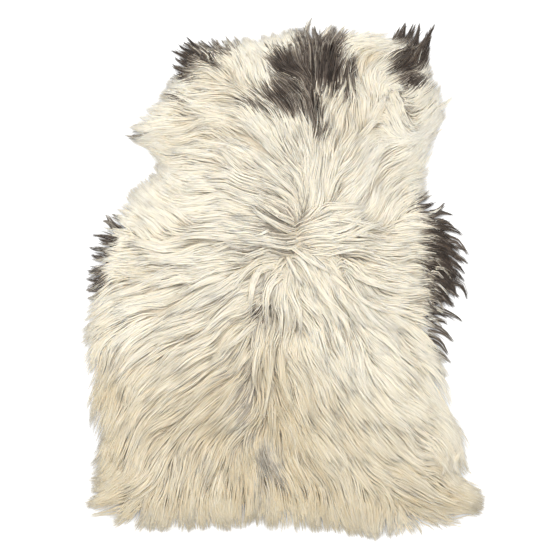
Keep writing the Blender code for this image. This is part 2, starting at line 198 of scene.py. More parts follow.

# Greyer wool, as the dark patches. Many rows are painted shade: grey strokes in the partings and seams, under locks
# and in the whorl.
GREY_AND_SHADE_PATCHES = (
    (271, 218, 12, 2, 155, 1.1, 0.0), (290, 216, 16, 2, 170, 0.9, 0.0), (278, 235, 11, 4, 165, 0.8, 0.1),
    (259, 250, 10, 5, 215, 1.0, 0.1), (282, 246, 6, 4, 0, 1.0, 0.0), (270, 278, 8, 6, 225, 0.9, 0.1),
    (288, 297, 8, 4, 290, 0.7, 0.1), (263, 296, 10, 4, 255, 0.8, 0.1), (252, 256, 14, 2, 185, 0.8, 0.1),
    (334, 201, 12, 5, 45, 0.4, 0.1), (340, 277, 12, 4, -20, 0.7, 0.1), (290, 180, 16, 6, 150, 0.7, 0.1), (286, 197, 20, 8, 150, 0.5, 0.2),
    (303, 199, 12, 2, 92, 0.9, 0.1), (372, 256, 16, 2, -12, 0.6, 0.1), (330, 262, 10, 3, 30, 0.6, 0.1),
    (222, 328, 18, 3, 215, 0.5, 0.1), (228, 354, 14, 4, 220, 0.6, 0.1), (240, 368, 12, 3, 230, 0.6, 0.1),
    (108, 366, 8, 4, 230, 0.6, 0.1), (149, 352, 10, 2, 230, 0.4, 0.1), (246, 396, 12, 3, 240, 0.8, 0.1),
    (243, 414, 14, 4, 235, 0.9, 0.1), (252, 436, 10, 3, 230, 0.8, 0.1), (266, 446, 12, 5, 270, 0.8, 0.1),
    (264, 466, 20, 7, 266, 0.75, 0.2), (278, 470, 16, 7, 290, 0.75, 0.2), (168, 318, 16, 3, 205, 0.5, 0.1),
    (283, 212, 34, 16, 150, 0.56, 0.2), (276, 230, 28, 9, 165, 0.72, 0.2), (262, 262, 20, 10, 200, 0.6, 0.2),
    (298, 246, 26, 16, 0, 0.38, 0.2), (242, 410, 46, 9, 262, 0.55, 0.2), (238, 248, 16, 6, 185, 0.5, 0.2),
    (276, 160, 14, 10, 140, 0.4, 0.2), (404, 104, 16, 8, -60, 0.5, 0.2),
    (262, 322, 24, 12, 225, 0.58, 0.2), (230, 360, 12, 8, 225, 0.42, 0.2), (270, 462, 22, 12, 270, 0.5, 0.3),
    (282, 478, 16, 8, 290, 0.55, 0.3), (262, 500, 20, 12, 270, 0.34, 0.3), (91, 440, 28, 9, 92, 0.95, 0.2),
    (88, 380, 40, 7, 92, 0.4, 0.3), (110, 366, 12, 8, 230, 0.55, 0.2), (294, 150, 26, 14, 90, 0.45, 0.2), (222, 374, 14, 8, 222, 0.45, 0.2),
    (206, 460, 14, 5, 235, 0.42, 0.2), (430, 372, 26, 30, 315, 0.36, 0.2), (446, 350, 16, 20, 310, 0.45, 0.2),
    (146, 519, 12, 10, 290, 0.55, 0.3), (190, 522, 12, 8, 270, 0.45, 0.3), (388, 528, 12, 8, 280, 0.5, 0.3),
    (172, 88, 14, 8, 165, 0.35, 0.2), (110, 300, 14, 30, 205, 0.3, 0.2), (426, 436, 26, 9, -33, 0.5, 0.2),
    (350, 505, 20, 14, 300, 0.25, 0.2), (408, 522, 14, 5, -30, 0.5, 0.2), (240, 300, 20, 16, 215, 0.25, 0.2),
    (298, 24, 16, 10, 95, 0.5, 0.3), (330, 24, 14, 8, 80, 0.5, 0.3), (246, 414, 18, 5, 225, 0.5, 0.2),
    (335, 205, 16, 8, 45, 0.4, 0.2), (400, 120, 14, 10, -60, 0.3, 0.2), (420, 225, 14, 14, 0, 0.35, 0.2),
)

# Buff wool, as the dark patches. The large rows over the lower half are painted shade, darkening and warming the wool
# there.
BUFF_AND_SHADE_PATCHES = (
    (371, 56, 12, 8, 40, 0.9, 0.0), (225, 85, 30, 16, 160, 0.40, 0.0), (180, 130, 50, 20, 178, 0.30, 0.0),
    (250, 270, 24, 10, 210, 0.35, 0.0), (345, 120, 30, 24, 88, 0.30, 0.0), (150, 440, 90, 90, 0, 0.70, 0.0),
    (260, 450, 70, 90, 0, 0.85, 0.0), (250, 520, 200, 26, 0, 0.95, 0.0), (380, 470, 100, 80, 0, 0.52, 0.0),
    (90, 500, 40, 60, 0, 0.8, 0.0), (465, 510, 30, 30, 0, 0.8, 0.0), (345, 500, 60, 30, 0, 0.5, 0.0),
    (95, 410, 20, 90, 0, 0.5, 0.0), (262, 370, 30, 60, 0, 0.4, 0.0),
)

# Partings and hollows in the wool: pixel x, pixel y, heading, half length and half width in pixels, and
# depth in millimetres, less than 0 for a hump.
HOLLOWS = (
    (287, 240, 80, 26, 11, 20), (306, 205, 115, 16, 6, 14), (262, 262, 190, 22, 7, 12),
    (267, 440, 88, 60, 9, 8), (265, 455, 88, 18, 12, 10), (348, 272, -30, 22, 8, 12),
    (428, 436, -20, 26, 9, 12), (124, 470, 60, 26, 9, 10), (400, 118, -60, 22, 8, 6),
    (300, 150, 90, 30, 10, 6), (366, 258, 10, 24, 10, -8), (260, 388, 268, 44, 6, 8),
    (256, 312, 200, 9, 5, 12), (270, 280, 225, 10, 7, 10), (259, 250, 215, 12, 6, 10), (320, 70, 80, 40, 20, -6),
    (340, 279, -20, 12, 7, 10), (180, 300, 205, 60, 24, -5), (370, 350, -60, 60, 24, -5), (190, 140, 175, 40, 20, -5),
    (430, 228, -20, 10, 30, 10), (150, 225, 150, 22, 10, 8), (405, 420, 300, 30, 12, 6),
)

# Where the wool stands in separate locks, and how much, from 0 to 1: pixels, heading and amount as above.
CLUMPED = (
    (190, 140, 50, 50, 175, 0.8, 0.0), (140, 240, 60, 45, 170, 0.7, 0.0), (360, 260, 60, 50, 0, 0.8, 0.0),
    (400, 60, 40, 34, 50, 0.4, 0.0), (455, 270, 40, 60, 0, 1.0, 0.0), (110, 500, 40, 24, 0, 0.8, 0.0),
    (445, 470, 40, 40, 0, 0.7, 0.0), (200, 60, 40, 30, 0, 0.8, 0.0), (350, 110, 40, 40, 0, 0.5, 0.0),
    (270, 300, 50, 50, 0, 0.6, 0.0),
)

# Sizes of the skin and of the wool's surface, and the line along the back that the rim is drawn in to.
SKIN_THICKNESS = 2.6 * MM
SKIN_INSET = 74 * MM
LINE_X, LINE_FOOT, LINE_HEAD = -10 * MM, -300 * MM, 330 * MM
WHORL = (0.010, 0.026)
TIP_HEIGHT = 4 * MM
EDGE_HEIGHT = 30 * MM
CROWN_HEIGHT = 58 * MM
EDGE_WIDTH = 60 * MM
SHOULDER = 190 * MM
TYPICAL_HEIGHT = 50 * MM  # where the wool that shows lies

# The grid that the fields are worked out on.
GRID_STEP = 4 * MM
GRID_X = np.arange(-0.46, 0.4601, GRID_STEP)
GRID_Y = np.arange(-0.62, 0.6201, GRID_STEP)

# The locks. Their rings are closest together where they show.
STEP = 8 * MM
STEPS = 22
LOCK_LENGTH = (0.095, 0.140)
LOCK_HALF_WIDTH = (8 * MM, 13 * MM)
RINGS = np.array((0, 0.18, 0.38, 0.58, 0.79, 1.0))
STRAND_WIDTH = (0.50 * MM, 0.95 * MM)  # half of it
PARTING_TRIES = 14000  # places tried for more locks where the wool parts
PARTING_SPREAD = 54.0  # radians a metre, where every place that is tried has one
PARTING_REACH = 16 * MM  # how far over a parting its locks start
TUFT_SPACING = (11 * MM, 34 * MM)  # along the tip line, where the wool ends in pointed tufts
TUFT_REACH = 60 * MM  # how far inside that line the tufts begin
SPIKE_HEIGHT = 18 * MM  # where the roots of the spikes show
BODY_OUTSET = 28 * MM  # how far the underwool reaches past the skin, and its height there
BODY_RIM = 4 * MM
NORMAL_LIFT = 3.0  # how far a strand is shaded as the sheet of wool that it lies in, and not as a round hair


class Kind(NamedTuple):
    """A kind of lock: how far apart they are, their strands, and how high over the wool's surface they lie.
    drawn is how far their strands draw together at the tip, where the wool is smooth and where it is locky.
    """

    spacing: float
    strands: int
    level: tuple
    drawn: tuple
    dome: float


COAT = Kind(25.5 * MM, 12, (-5.5 * MM, -0.5 * MM), (0.15, 0.55), 2.0 * MM)
EDGE = Kind(7.0 * MM, 11, (-4.0 * MM, 0.5 * MM), (0.2, 0.6), 2.0 * MM)
TOP = Kind(40.0 * MM, 19, (-0.5 * MM, 2.5 * MM), (0.40, 0.86), 3.5 * MM)
SPIKE = Kind(0.0, 20, (-2.0 * MM, 1.0 * MM), (0.8, 0.9), 2.0 * MM)
CURL = Kind(0.0, 20, (0.0, 1.0 * MM), (0.4, 0.7), 3.0 * MM)

FLEECE = (
    ("fleece_neck", 52, 106),
    ("fleece_left_shoulder", 106, 176),
    ("fleece_left_flank", 176, 238),
    ("fleece_rump", 238, 286),
    ("fleece_right_flank", 286, 334),
    ("fleece_right_shoulder", 334, 412),
)


def smooth(x):
    x = np.clip(x, 0.0, 1.0)
    return x * x * (3 - 2 * x)


def on_pelt(px, py, height):
    """Where a pixel of the photograph lies at a height over the floor, as x and y."""
    half = SENSOR / (2 * LENS)
    across = (np.asarray(px, float) / (PICTURE / 2) - 1) * half
    up = (1 - np.asarray(py, float) / (PICTURE / 2)) * half
    ray_y = math.sin(TILT) + up * math.cos(TILT)
    ray_z = -math.cos(TILT) + up * math.sin(TILT)
    far = (height - CAMERA_PLACE[2]) / ray_z
    return CAMERA_PLACE[0] + far * across, CAMERA_PLACE[1] + far * ray_y


def seen(places):
    """The pixel of the photograph that each point lies at, as x and y."""
    away = places - np.array(CAMERA_PLACE)
    far = away[..., 1] * math.sin(TILT) - away[..., 2] * math.cos(TILT)
    up = (away[..., 1] * math.cos(TILT) + away[..., 2] * math.sin(TILT)) / far
    scale = PICTURE * LENS / SENSOR
    return np.stack([PICTURE / 2 + away[..., 0] / far * scale, PICTURE / 2 - up * scale], -1)


def raised(points, heights):
    """Points of the floor, lifted to heights."""
    return np.concatenate([points, np.broadcast_to(heights, points.shape[:-1])[..., None]], -1)


METRES_A_PIXEL = float(on_pelt(276, 275, 0.03)[0] - on_pelt(275, 275, 0.03)[0])


def rounded(points, parts):
    """A smooth closed curve through points, with parts points for each."""
    before, after, third = np.roll(points, 1, 0), np.roll(points, -1, 0), np.roll(points, -2, 0)
    t = (np.arange(parts) / parts)[None, :, None]
    a, b, c, d = (p[:, None, :] for p in (before, points, after, third))
    curve = b + 0.5 * ((c - a) * t + (2 * a - 5 * b + 4 * c - d) * t**2 + (3 * b - a - 3 * c + d) * t**3)
    return curve.reshape(-1, points.shape[1])


def tip_line():
    table = np.array(TIP_LINE, float)
    x, y = on_pelt(table[:, 0], table[:, 1], 0.01)
    return rounded(np.stack([x, y], 1), 8)


def drawn_in(points, inset):
    """Points moved towards the back's middle line."""
    line = np.stack([np.full(len(points), LINE_X), np.clip(points[:, 1], LINE_FOOT, LINE_HEAD)], 1)
    way = line - points
    return points + way / np.linalg.norm(way, axis=1)[:, None] * inset


def inside_distance(points, line):
    """How far points lie inside a closed line, less than 0 outside it."""
    start, end = line, np.roll(line, -1, 0)
    run = end - start
    found = np.empty(len(points))
    for first in range(0, len(points), 4000):
        p = points[first : first + 4000]
        away = p[:, None] - start[None]
        share = np.clip((away * run).sum(-1) / (run**2).sum(-1), 0, 1)
        near = np.linalg.norm(away - share[..., None] * run, axis=-1).min(1)
        above = start[None, :, 1] > p[:, None, 1]
        crossed = above != (end[None, :, 1] > p[:, None, 1])
        with np.errstate(divide="ignore", invalid="ignore"):
            meets = start[:, 0] + (p[:, None, 1] - start[:, 1]) * run[:, 0] / run[:, 1]
        inside = (crossed & (p[:, None, 0] < meets)).sum(1) % 2 == 1
        found[first : first + 4000] = np.where(inside, near, -near)
    return found


class Field:
    """Values on the grid, read between its points."""

    def __init__(self, values):
        self.values = values.reshape(len(GRID_Y), len(GRID_X), -1)

    def at(self, points):
        column = np.clip((points[..., 0] - GRID_X[0]) / GRID_STEP, 0, len(GRID_X) - 1.001)
        row = np.clip((points[..., 1] - GRID_Y[0]) / GRID_STEP, 0, len(GRID_Y) - 1.001)
        i, j = column.astype(int), row.astype(int)
        u, v = (column - i)[..., None], (row - j)[..., None]
        low = self.values[j, i] * (1 - u) + self.values[j, i + 1] * u
        high = self.values[j + 1, i] * (1 - u) + self.values[j + 1, i + 1] * u
        found = low * (1 - v) + high * v
        return found[..., 0] if found.shape[-1] == 1 else found


def grid_points():
    x, y = np.meshgrid(GRID_X, GRID_Y)
    return np.stack([x.ravel(), y.ravel()], 1)


def noise_field(rng, size):
    """Smooth noise over the grid, about 1 either way, in lumps of a size."""
    shape = (len(GRID_Y), len(GRID_X))
    y = np.fft.fftfreq(shape[0])[:, None]
    x = np.fft.rfftfreq(shape[1])[None]
    soft = np.exp(-2 * (math.pi * size / GRID_STEP / 2.5) ** 2 * (x**2 + y**2))
    lumps = np.fft.irfft2(np.fft.rfft2(rng.normal(size=shape)) * soft, shape)
    return lumps / lumps.std()


def turned(way, angle):
    cos, sin = np.cos(angle), np.sin(angle)
    return np.stack([way[..., 0] * cos - way[..., 1] * sin, way[..., 0] * sin + way[..., 1] * cos], -1)


def spread_of(comb):
    """How fast the wool parts at each point of the grid, in radians a metre."""
    ways = comb.values
    across = np.gradient(ways[..., 0], GRID_STEP, axis=1)
    return across + np.gradient(ways[..., 1], GRID_STEP, axis=0)


def comb_field(points):
    """The direction of the wool, blended from the readings nearest to each point."""
    table = np.array(COMB + TIP_LINE, float)
    x, y = on_pelt(table[:, 0], table[:, 1], TYPICAL_HEIGHT)
    turn = np.radians(table[:, 2])
    found = np.zeros((len(points), 2))
    for place_x, place_y, angle in zip(x, y, turn):
        away = (points[:, 0] - place_x) ** 2 + (points[:, 1] - place_y) ** 2
        weight = 1 / (away + (COMB_REACH * METRES_A_PIXEL) ** 2) ** 2
        found += weight[:, None] * np.array((math.cos(angle), math.sin(angle)))
    return found / np.linalg.norm(found, axis=1)[:, None]


def patch_strength(pixels, table):
    """The strongest patch's strength and its tips' paleness at each pixel."""
    strength = np.zeros(pixels.shape[:-1])
    paler = np.zeros(pixels.shape[:-1])
    for px, py, half_length, half_width, heading, strong, pale in table:
        turn = math.radians(heading)
        dx, dy = pixels[..., 0] - px, py - pixels[..., 1]
        along = (dx * math.cos(turn) + dy * math.sin(turn)) / half_length
        across = (dy * math.cos(turn) - dx * math.sin(turn)) / half_width
        here = strong * np.exp(-0.7 * (along**2 + across**2) ** 1.5)
        paler = np.where(here > strength, pale, paler)
        strength = np.maximum(strength, here)
    return strength, paler


def patch_sum(pixels, table):
    """All patches together at each pixel, each soft at its rim."""
    left = np.ones(pixels.shape[:-1])
    for row in table:
        left *= 1 - 0.9 * patch_strength(pixels, (row,))[0]
    return 1 - left


def surface_height(points, inside):
    """The height of the combed wool's surface, from how far inside the tip line each point is."""
    edge = smooth(inside / EDGE_WIDTH)
    crown = smooth((inside - 0.4 * EDGE_WIDTH) / SHOULDER)
    height = TIP_HEIGHT + (EDGE_HEIGHT - TIP_HEIGHT) * edge + (CROWN_HEIGHT - EDGE_HEIGHT) * crown
    for px, py, heading, half_length, half_width, deep in HOLLOWS:
        x, y = on_pelt(px, py, TYPICAL_HEIGHT)
        turn = math.radians(heading)
        dx, dy = points[:, 0] - x, points[:, 1] - y
        along = (dx * math.cos(turn) + dy * math.sin(turn)) / (half_length * METRES_A_PIXEL)
        across = (dy * math.cos(turn) - dx * math.sin(turn)) / (half_width * METRES_A_PIXEL)
        height -= deep * MM * np.exp(-(along**2) - across**2) * crown
    return np.maximum(height, TIP_HEIGHT)


class Rim:
    """The tip line, finely divided, and the places along it where pointed tufts end."""

    def __init__(self, rng, line):
        closed = np.concatenate([line, line[:1]])
        passed = np.concatenate([[0], np.cumsum(np.linalg.norm(np.diff(closed, axis=0), axis=1))])
        self.along = np.arange(0, passed[-1], 2 * MM)
        self.line = np.stack([np.interp(self.along, passed, closed[:, k]) for k in (0, 1)], 1)
        way = np.roll(self.line, -2, 0) - np.roll(self.line, 2, 0)
        self.way = way / np.linalg.norm(way, axis=1)[:, None]
        self.tufts = np.cumsum(rng.uniform(*TUFT_SPACING, int(passed[-1] / TUFT_SPACING[0])))

    def nearest(self, points):
        """How far along the line the nearest place to each point is, and the line's way there."""
        found = np.argmin(((points[:, None] - self.line[None]) ** 2).sum(-1), 1)
        return self.along[found], self.way[found]

    def to_tuft(self, along):
        """How far along the line the nearest tuft is from each place."""
        between = (self.tufts[1:] + self.tufts[:-1]) / 2
        return self.tufts[np.searchsorted(between, along)] - along


def field_roots(rng, skin, spacing):
    """Where locks grow over the whole skin, on an uneven grid."""
    rows = []
    low, high = skin.min(0), skin.max(0)
    for row, y in enumerate(np.arange(low[1], high[1], spacing * math.sqrt(3) / 2)):
        x = np.arange(low[0] + (row % 2) * spacing / 2, high[0], spacing)
        rows.append(np.stack([x, np.full(len(x), y)], 1))
    roots = np.concatenate(rows)
    roots += rng.uniform(-0.38, 0.38, roots.shape) * spacing
    return roots[inside_distance(roots, skin) > 3 * MM]


def parting_roots(rng, skin, spread):
    """More locks where the wool parts, and so would lie thin."""
    roots = rng.uniform(skin.min(0), skin.max(0), (PARTING_TRIES, 2))
    chance = np.clip(spread.at(roots) / PARTING_SPREAD, 0, 1) ** 1.6
    roots = roots[rng.random(len(roots)) < chance]
    return roots[inside_distance(roots, skin) > 3 * MM]


def edge_roots(rng, skin, spacing):
    """A row of locks along the skin's edge."""
    closed = np.concatenate([skin, skin[:1]])
    passed = np.concatenate([[0], np.cumsum(np.linalg.norm(np.diff(closed, axis=0), axis=1))])
    along = np.arange(rng.uniform(0, spacing), passed[-1], spacing)
    roots = np.stack([np.interp(along, passed, closed[:, k]) for k in (0, 1)], 1)
    return drawn_in(roots, rng.uniform(1 * MM, 13 * MM, (len(roots), 1)))


def combed_path(roots, comb):
    """The course of each lock over the floor, from its root along the comb."""
    path = [roots]
    for _ in range(STEPS):
        here = path[-1]
        way = comb.at(here)
        middle = comb.at(here + way * STEP / 2)
        path.append(here + middle / np.linalg.norm(middle, axis=1)[:, None] * STEP)
    return np.stack(path, 1)


def reach_to_line(path, depth):
    """How far along its path each lock leaves the tip line, or the whole path."""
    inside = depth.at(path)
    out = inside < 0
    first = np.where(out.any(1), out.argmax(1), STEPS)
    rows = np.arange(len(path))
    before = inside[rows, np.maximum(first - 1, 0)]
    after = inside[rows, first]
    share = np.where(out.any(1), before / np.maximum(before - after, 1e-6), 1)
    return (first - 1 + share) * STEP


def along_path(path, distance):
    """Points and left-hand normals at distances along each lock's path."""
    place = np.clip(distance / STEP, 0, STEPS - 1e-4)
    k = place.astype(int)
    share = (place - k)[..., None]
    rows = np.arange(len(path)).reshape(-1, *([1] * (distance.ndim - 1)))
    a, b = path[rows, k], path[rows, k + 1]
    turn = (path[:, 1:] - path[:, :-1]) / STEP
    turn = np.concatenate([turn, turn[:, -1:]], 1)
    way = turn[rows, k] * (1 - share) + turn[rows, np.minimum(k + 1, STEPS)] * share
    way /= np.linalg.norm(way, axis=-1)[..., None]
    return a * (1 - share) + b * share, np.stack([-way[..., 1], way[..., 0]], -1)


class Fields(NamedTuple):
    """What the locks read: the comb, how far inside the tip line a place is, the heights of the wool and of the
    underwool, how the wool parts, its lumps, where it is locky, and its rim.
    """

    comb: Field
    depth: Field
    height: Field
    body: Field
    spread: Field
    lumps: Field
    clumped: Field
    rim: Rim


class Course(NamedTuple):
    """Where locks lie: their paths over the floor, how far each may go, how long and wide it is, how dark, and
    how far over the others.
    """

    path: np.ndarray
    reach: np.ndarray
    length: np.ndarray
    half_width: np.ndarray
    dark: np.ndarray
    over: np.ndarray


def combed_courses(rng, roots, fields, kind):
    """The courses of locks that grow from roots and follow the comb to the tip line, or end before it."""
    n = len(roots)
    path = combed_path(roots, fields.comb)
    back = rng.uniform(0, PARTING_REACH, n) * np.clip(fields.spread.at(roots) / 40, 0, 1)
    fade = np.clip(1 - np.arange(STEPS + 1) * STEP / 40 / MM, 0, 1)
    path = path - fields.comb.at(roots)[:, None] * back[:, None, None] * fade[None, :, None]
    reach = reach_to_line(path, fields.depth)
    longest = rng.uniform(*LOCK_LENGTH, n)
    to_line = reach * rng.uniform(0.95, 1.04, n) + 12 * MM
    length = np.where(reach < longest * 1.25, np.minimum(to_line, longest * 1.3), longest)
    if kind is EDGE:
        length = np.minimum(to_line, LOCK_LENGTH[1] * 1.15)
    half_width = rng.uniform(*LOCK_HALF_WIDTH, n)
    return Course(path, reach, np.maximum(length, 0.045), half_width, np.zeros(n), np.zeros(n))


def through(points, parts=20):
    """A smooth curve through points, with parts steps from each to the next."""
    first, last = 2 * points[0] - points[1], 2 * points[-1] - points[-2]
    curve = rounded(np.concatenate([[first], points, [last]]), parts)
    return curve[parts : parts * len(points) + 1]


def spike_curves():
    for root_x, root_y, tip_x, tip_y, bow, _, _ in SPIKES:
        start = np.array(on_pelt(root_x, root_y, SPIKE_HEIGHT))
        end = np.array(on_pelt(tip_x, tip_y, TIP_HEIGHT))
        left = np.array((start[1] - end[1], end[0] - start[0]))
        middle = (start + end) / 2 + left / np.linalg.norm(left) * bow * METRES_A_PIXEL
        yield through(np.array((start, middle, end)))


def curl_curves():
    for row in CURLS:
        yield through(np.stack(on_pelt(*np.transpose(row[3:]), TYPICAL_HEIGHT), 1))


def placed_courses(curves, half_width, dark, over):
    """The courses of locks that lie along curves."""
    paths, lengths = [], []
    steps = np.arange(STEPS + 1) * STEP
    for curve in curves:
        passed = np.concatenate([[0], np.cumsum(np.linalg.norm(np.diff(curve, axis=0), axis=1))])
        on_curve = np.stack([np.interp(steps, passed, curve[:, k]) for k in (0, 1)], 1)
        last_way = (curve[-1] - curve[-2]) / np.linalg.norm(curve[-1] - curve[-2])
        paths.append(on_curve + np.maximum(steps - passed[-1], 0)[:, None] * last_way)
        lengths.append(passed[-1])
    length = np.array(lengths)
    return Course(np.array(paths), length + 1.0, length, half_width, dark, over)


def grow(rng, course, fields, kind):
    """The strands of all locks on their courses: their points, half widths and tones."""
    path = course.path
    roots = path[:, 0]
    n, strands = len(roots), kind.strands
    size = (n, strands, 1)
    lock = (n, 1, 1)
    reach, length, half_width = (v.reshape(lock) for v in (course.reach, course.length, course.half_width))
    parting = np.clip(fields.spread.at(roots) / 40, 0, 1).reshape(lock)
    clump = fields.clumped.at(roots).reshape(lock)

    # Each strand's stretch of that course.
    at_rim = kind in (EDGE, SPIKE)
    first = rng.uniform(0, 0.34, size) * (1 - parting) * (0.3 if at_rim else 1)
    last = (1 - np.abs(rng.normal(0, 0.06 if at_rim else 0.12, size))).clip(0.5, 1)
    place = rng.uniform(-1, 1, size)

    # Near the tip line, strands are drawn together into pointed tufts.
    leaves, across = along_path(path, course.reach[:, None])
    along, way = fields.rim.nearest(leaves[:, 0])
    slope = (across[:, 0] * way).sum(-1).reshape(lock)
    to_tuft = fields.rim.to_tuft(along.reshape(lock) + slope * place * half_width * 0.8)
    tip_dark = patch_strength(seen(raised(leaves[:, 0], TIP_HEIGHT)), DARK_PATCHES)[0]
    pull = np.clip(0.04 + 0.5 * fields.clumped.at(leaves[:, 0]) + 0.5 * tip_dark, 0, 1).reshape(lock)
    shorter = (0.04 + 0.20 * pull**2) * np.abs(to_tuft) / (12 * MM)
    last = last * (1 - shorter * (reach < length * 1.1)).clip(0.6, 1)

    s = RINGS[None, None, :]
    u = first + (last - first) * s
    centre, normal = along_path(path, u * length)
    near = smooth((u * length - reach + TUFT_REACH) / TUFT_REACH)
    centre = centre + (way[:, None, None] * (to_tuft * pull * near)[..., None])

    # The whole lock swings from side to side, and each strand a little of its own.
    swing = rng.uniform(0.6, 3.6, lock) * MM * (0.6 + 0.8 * clump) * (length / 0.13)
    waves = rng.uniform(0.8, 1.5, lock)
    phase = rng.uniform(0, 2 * math.pi, lock)
    side = swing * (np.sin(2 * math.pi * waves * u + phase) - np.sin(phase)) * u**0.6
    side += rng.normal(0, 4 * MM, lock) * u**2
    drawn = kind.drawn[0] + (kind.drawn[1] - kind.drawn[0]) * clump
    taper = 1.05 - drawn * smooth(u * 1.02)
    side = side + place * half_width * taper
    stray = rng.random(size) < 0.10
    own = rng.uniform(0.2, 0.9, size) * MM * np.where(stray, 2.6, 1)
    side = side + own * np.sin(2 * math.pi * rng.uniform(0.7, 1.5, size) * u + rng.uniform(0, 6.28, size)) * u
    side = side + np.where(stray, rng.normal(0, 7 * MM, size), 0) * u**1.5
    points = centre + normal * side[..., None]

    # It rises quickly out of the underwool, and then lies along the wool's surface at a depth of its own.
    low = fields.body.at(points[..., 0, :])[..., None] - 1.5 * MM
    top = fields.height.at(points)
    level = rng.uniform(*kind.level, lock) * (0.6 + 0.7 * clump) + course.over.reshape(lock)
    level = level + (0.9 + 2.0 * clump) * MM * fields.lumps.at(roots).reshape(lock) + np.where(stray, 0.8 * MM, 0)
    shell = -kind.dome * place**2 * taper * (0.35 + clump) + rng.uniform(-1.2, 0.3, size) * MM
    lift = 1 - (1 - s) ** (4.0 + 4.0 * parting)
    crest = rng.uniform(0, 2.0, lock) * (0.3 + clump) * MM * np.sin(2 * math.pi * rng.uniform(0.8, 1.5, lock) * u + phase)
    droop = rng.uniform(1.0, 5.0, size) * MM * s**5
    scale = np.clip(top / CROWN_HEIGHT, 0.12, 1)
    z = low + (top + (level + shell + crest - droop) * scale - low) * lift
    z = np.maximum(z, 1.3 * MM + 0.6 * MM * rng.random(size))
    points = np.concatenate([points, z[..., None]], -1)
    width = rng.uniform(*STRAND_WIDTH, size) * (0.9 + 0.3 * s) * (1 - s ** (1.8 if at_rim else 2.6))

    # The tone of each point is that of the wool's pattern there, read a little off it, with painted shade where the
    # wool lies deep or parts.
    jitter = rng.normal(0, 4 * MM, (n, 1, 1, 2)) + rng.normal(0, 5 * MM, (n, strands, 1, 2))
    read = seen(raised(points[..., :2] + jitter, points[..., 2]))
    dark, paler = patch_strength(read, DARK_PATCHES)
    if kind in (SPIKE, CURL):
        dark = course.dark.reshape(lock) + 0 * dark
    # Grey strokes, many of them painted shade; curls that lie over the others take less of it.
    grey_and_shade = patch_strength(read, GREY_AND_SHADE_PATCHES)[0] * np.where(course.over > 0, 0.3, 1).reshape(lock)
    # Buff tone, and the painted shade of the lower half, from the buff patches.
    buff_and_shade = patch_sum(read, BUFF_AND_SHADE_PATCHES)
    mixed = rng.normal(0, 0.16, size) + rng.normal(0, 0.08, lock)
    faded = 0.6 * rng.random(size) ** 1.4 * np.clip(3.2 - 2.6 * dark, 0.22, 1)
    dark = smooth((dark + mixed - 0.28) / 0.34) * np.clip(0.62 + 0.45 * dark, 0, 1) * (1 - faded)
    grey_and_shade = smooth((grey_and_shade + mixed - 0.20) / 0.5) * 0.40
    pigment = np.maximum(dark, grey_and_shade) * (1 - paler * smooth((s - 0.35) / 0.6) * 0.75)
    # Painted shade: strands that lie deeper in the wool are warmed and darkened towards buff.
    sunk_shade = np.clip(-shell / (3 * MM), 0, 1) * 0.25 + np.clip(-level / (6 * MM), 0, 1) * 0.35
    warm_and_shade = np.clip(buff_and_shade + sunk_shade + rng.normal(-0.08, 0.14, size), 0, 1) + 0 * s
    light = rng.normal(0, 1, size) * 0.5 + rng.normal(0, 1, lock) * 0.5 + 0 * u
    tones = {"pigment": pigment, "warmth_and_shade": warm_and_shade, "lightness": light, "along": s + 0 * place}
    flat = {name: value.reshape(n * strands, -1) for name, value in tones.items()}
    middle = points[..., 3, :2].reshape(-1, 2) - np.array(WHORL)
    sector = np.degrees(np.arctan2(middle[:, 1], middle[:, 0])) % 360
    return points.reshape(n * strands, -1, 3), width.reshape(n * strands, -1), flat, sector


